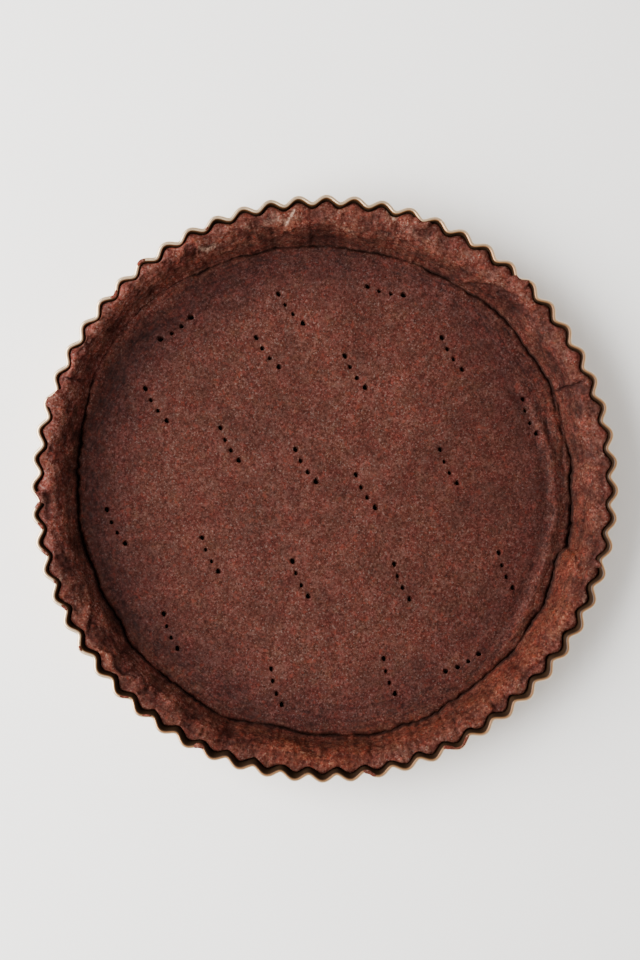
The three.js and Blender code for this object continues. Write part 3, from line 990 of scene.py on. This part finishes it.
def edge_tone_and_painted_light(s):
    """The floor is darker and redder towards the wall: partly its own colour, partly painted shade where the
    wall shades it. It is also darker and redder on the right. The top edge of the wall is lighter, a painted
    light. The wall is warmer at the lower right. Parts of the left wall are lighter, a painted light on the
    side that faces away from the window."""
    radius = s.flat()[1]
    waver = s.calculate("MULTIPLY_ADD", s.noise(18, 10, 3), 0.016, radius)
    share = s.calculate("DIVIDE", waver, SHADE_RADIUS)
    # painted shade: darker towards the crease where the wall shades the floor, with the dough's own darker
    # colour; painted light: lighter at the top edge of the wall
    ring = s.ramp(share, [
        (0.66, 1.0), (0.76, (0.8, 0.75, 0.8)), (0.83, (0.66, 0.6, 0.64)),
        (0.89, (0.8, 0.74, 0.68)), (0.94, (0.97, 0.94, 0.93)), (0.985, (1.25, 1.27, 1.26)),
    ])
    across = s.add("SeparateXYZ", Vector=s.place).outputs["X"]
    drift = s.calculate("MULTIPLY_ADD", s.noise(22, 11, 4), 0.035, across)
    side = s.calculate("DIVIDE", drift, SHADE_RADIUS)
    right = s.fade(side, 0.38, 0.66)
    inner = s.ramp(share, [(0.74, 1.0), (0.8, 0.0)])
    right = s.times(right, inner)
    ring = s.tint(right, ring, (0.82, 0.76, 0.75))
    low = s.towards((0.5, -0.87, 0), 0.35, 0.6)
    on_wall = s.ramp(share, [(0.87, 0.0), (0.895, 1.0), (0.95, 1.0), (0.975, 0.0)])
    warm = s.times(low, on_wall)
    ring = s.tint(warm, ring, (1.07, 0.9, 0.76))
    # painted light: the left wall, which faces away from the window and lies in shade, is made lighter
    back = s.calculate("MULTIPLY_ADD", drift, -0.5 / SHADE_RADIUS, 0.5)
    left = s.fade(back, 0.48, 0.78)
    low_wall = s.ramp(share, [(0.88, 0.0), (0.905, 1.0), (0.915, 1.0), (0.945, 0.0)])
    whole_wall = s.ramp(share, [(0.88, 0.0), (0.905, 1.0), (0.935, 1.0), (0.985, 0.6)])
    wall = s.mix(s.towards((-0.85, 0.53, 0), 0.55, 0.72), low_wall, whole_wall)
    painted_light_on_left_wall = s.mix(wall, (0.88, 0.86, 0.86, 1), (1.80, 1.90, 2.15, 1))
    return s.mix(left, ring, s.times(ring, painted_light_on_left_wall))


def painted_shade_in_holes(s):
    """1 inside the fork holes, where the dough is painted near black as shade."""
    height = s.add("SeparateXYZ", Vector=s.place).outputs["Z"]
    below = s.calculate("LESS_THAN", height, (FLOOR_TOP - 1.6) * MM)
    above = s.calculate("GREATER_THAN", height, (CASE_LOW.z + 0.9) * MM)
    within = s.calculate("LESS_THAN", s.flat()[1], 100 * MM)
    return s.calculate("MULTIPLY", s.calculate("MULTIPLY", below, above), within)


def champagne_material():
    s = Shader("champagne_metal")
    spread = s.ramp(s.noise(2.5, 4, 4, 0.7), [(0.25, 0.96), (0.6, 1.0)])
    # brown to near black: a baked-on film, and painted shade on the inner face and the bead's inner half
    baked = s.times(spread, s.mark("patina_and_painted_shade"))
    tone = s.ramp(baked, [
        (0.0, (0.6, 0.43, 0.275)), (0.35, (0.36, 0.19, 0.092)), (0.7, (0.095, 0.042, 0.016)),
        (1.0, (0.014, 0.0068, 0.0034)),
    ])
    tone = s.times(tone, s.ramp(s.noise(9, 1, 4, 0.6), [(0.3, 0.85), (0.7, 1.08)]))
    rough = s.ramp(s.noise(14, 2, 3), [(0.3, 0.28), (0.7, 0.32)])
    rough = s.mix(baked, rough, (0.45, 0.45, 0.45, 1))
    metallic = s.ramp(baked, [(0.4, 1.0), (1.0, 0.0)])
    bump = s.bump(s.noise(16, 3, 1), 0.06, 0.5)
    return s.finish(Base_Color=tone, Metallic=metallic, Roughness=rough, Normal=bump, Specular_IOR_Level=0.2)


def floor_material():
    s = Shader("pale_table")
    tone = s.ramp(s.noise(120, 1, 4), [(0.3, (0.8, 0.79, 0.775)), (0.7, (0.84, 0.83, 0.815))])
    return s.finish(Base_Color=tone, Roughness=0.7)


# ---- stage, light and camera


def stage():
    half = 4 / MM
    points = [(-half, -half, 0), (half, -half, 0), (half, half, 0), (-half, half, 0)]
    table = make_piece("table", points, [(0, 1, 2, 3)], floor_material())


def area_light(name, place, size, power, colour):
    light = bpy.data.lights.new(name, "AREA")
    light.size = size
    light.energy = power
    light.color = colour
    lamp = bpy.data.objects.new(name, light)
    lamp.location = place
    lamp.rotation_euler = (-Vector(place)).to_track_quat("-Z", "Y").to_euler()
    bpy.context.scene.collection.objects.link(lamp)


def lights():
    area_light("window", (-0.95, 0.02, 0.72), 1.25, 79, (1.0, 0.99, 0.97))
    world = bpy.data.worlds.new("room")
    world.use_nodes = True
    background = world.node_tree.nodes["Background"]
    background.inputs["Color"].default_value = (0.94, 0.925, 0.9, 1)
    background.inputs["Strength"].default_value = 1.10
    bpy.context.scene.world = world


def camera():
    """Straight down on the pan, so that its rim fills most of the frame's width."""
    above_rim = 0.9
    lens = bpy.data.cameras.new("camera")
    lens.sensor_width = 36
    lens.lens = 79.5
    eye = bpy.data.objects.new("camera", lens)
    eye.location = (-0.002, 0.0037, RING_TOP.z * MM + above_rim)
    eye.rotation_euler = (0, 0, math.radians(0.39))
    bpy.context.scene.collection.objects.link(eye)
    bpy.context.scene.camera = eye


camera()
stage()
lights()

metal = champagne_material()
pastry = pastry_material()
crumbs = rim_crumbs(pastry)
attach(crumbs, "ring")
for node, body, slot, piece in (
    ("fluted_ring", "ring", "champagne_metal", fluted_ring(metal)),
    ("loose_base", "base", "champagne_metal", loose_base(metal)),
    ("pastry_case", "case", "dark_pastry", pastry_case(pastry)),
):
    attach(piece, body)
    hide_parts(node)
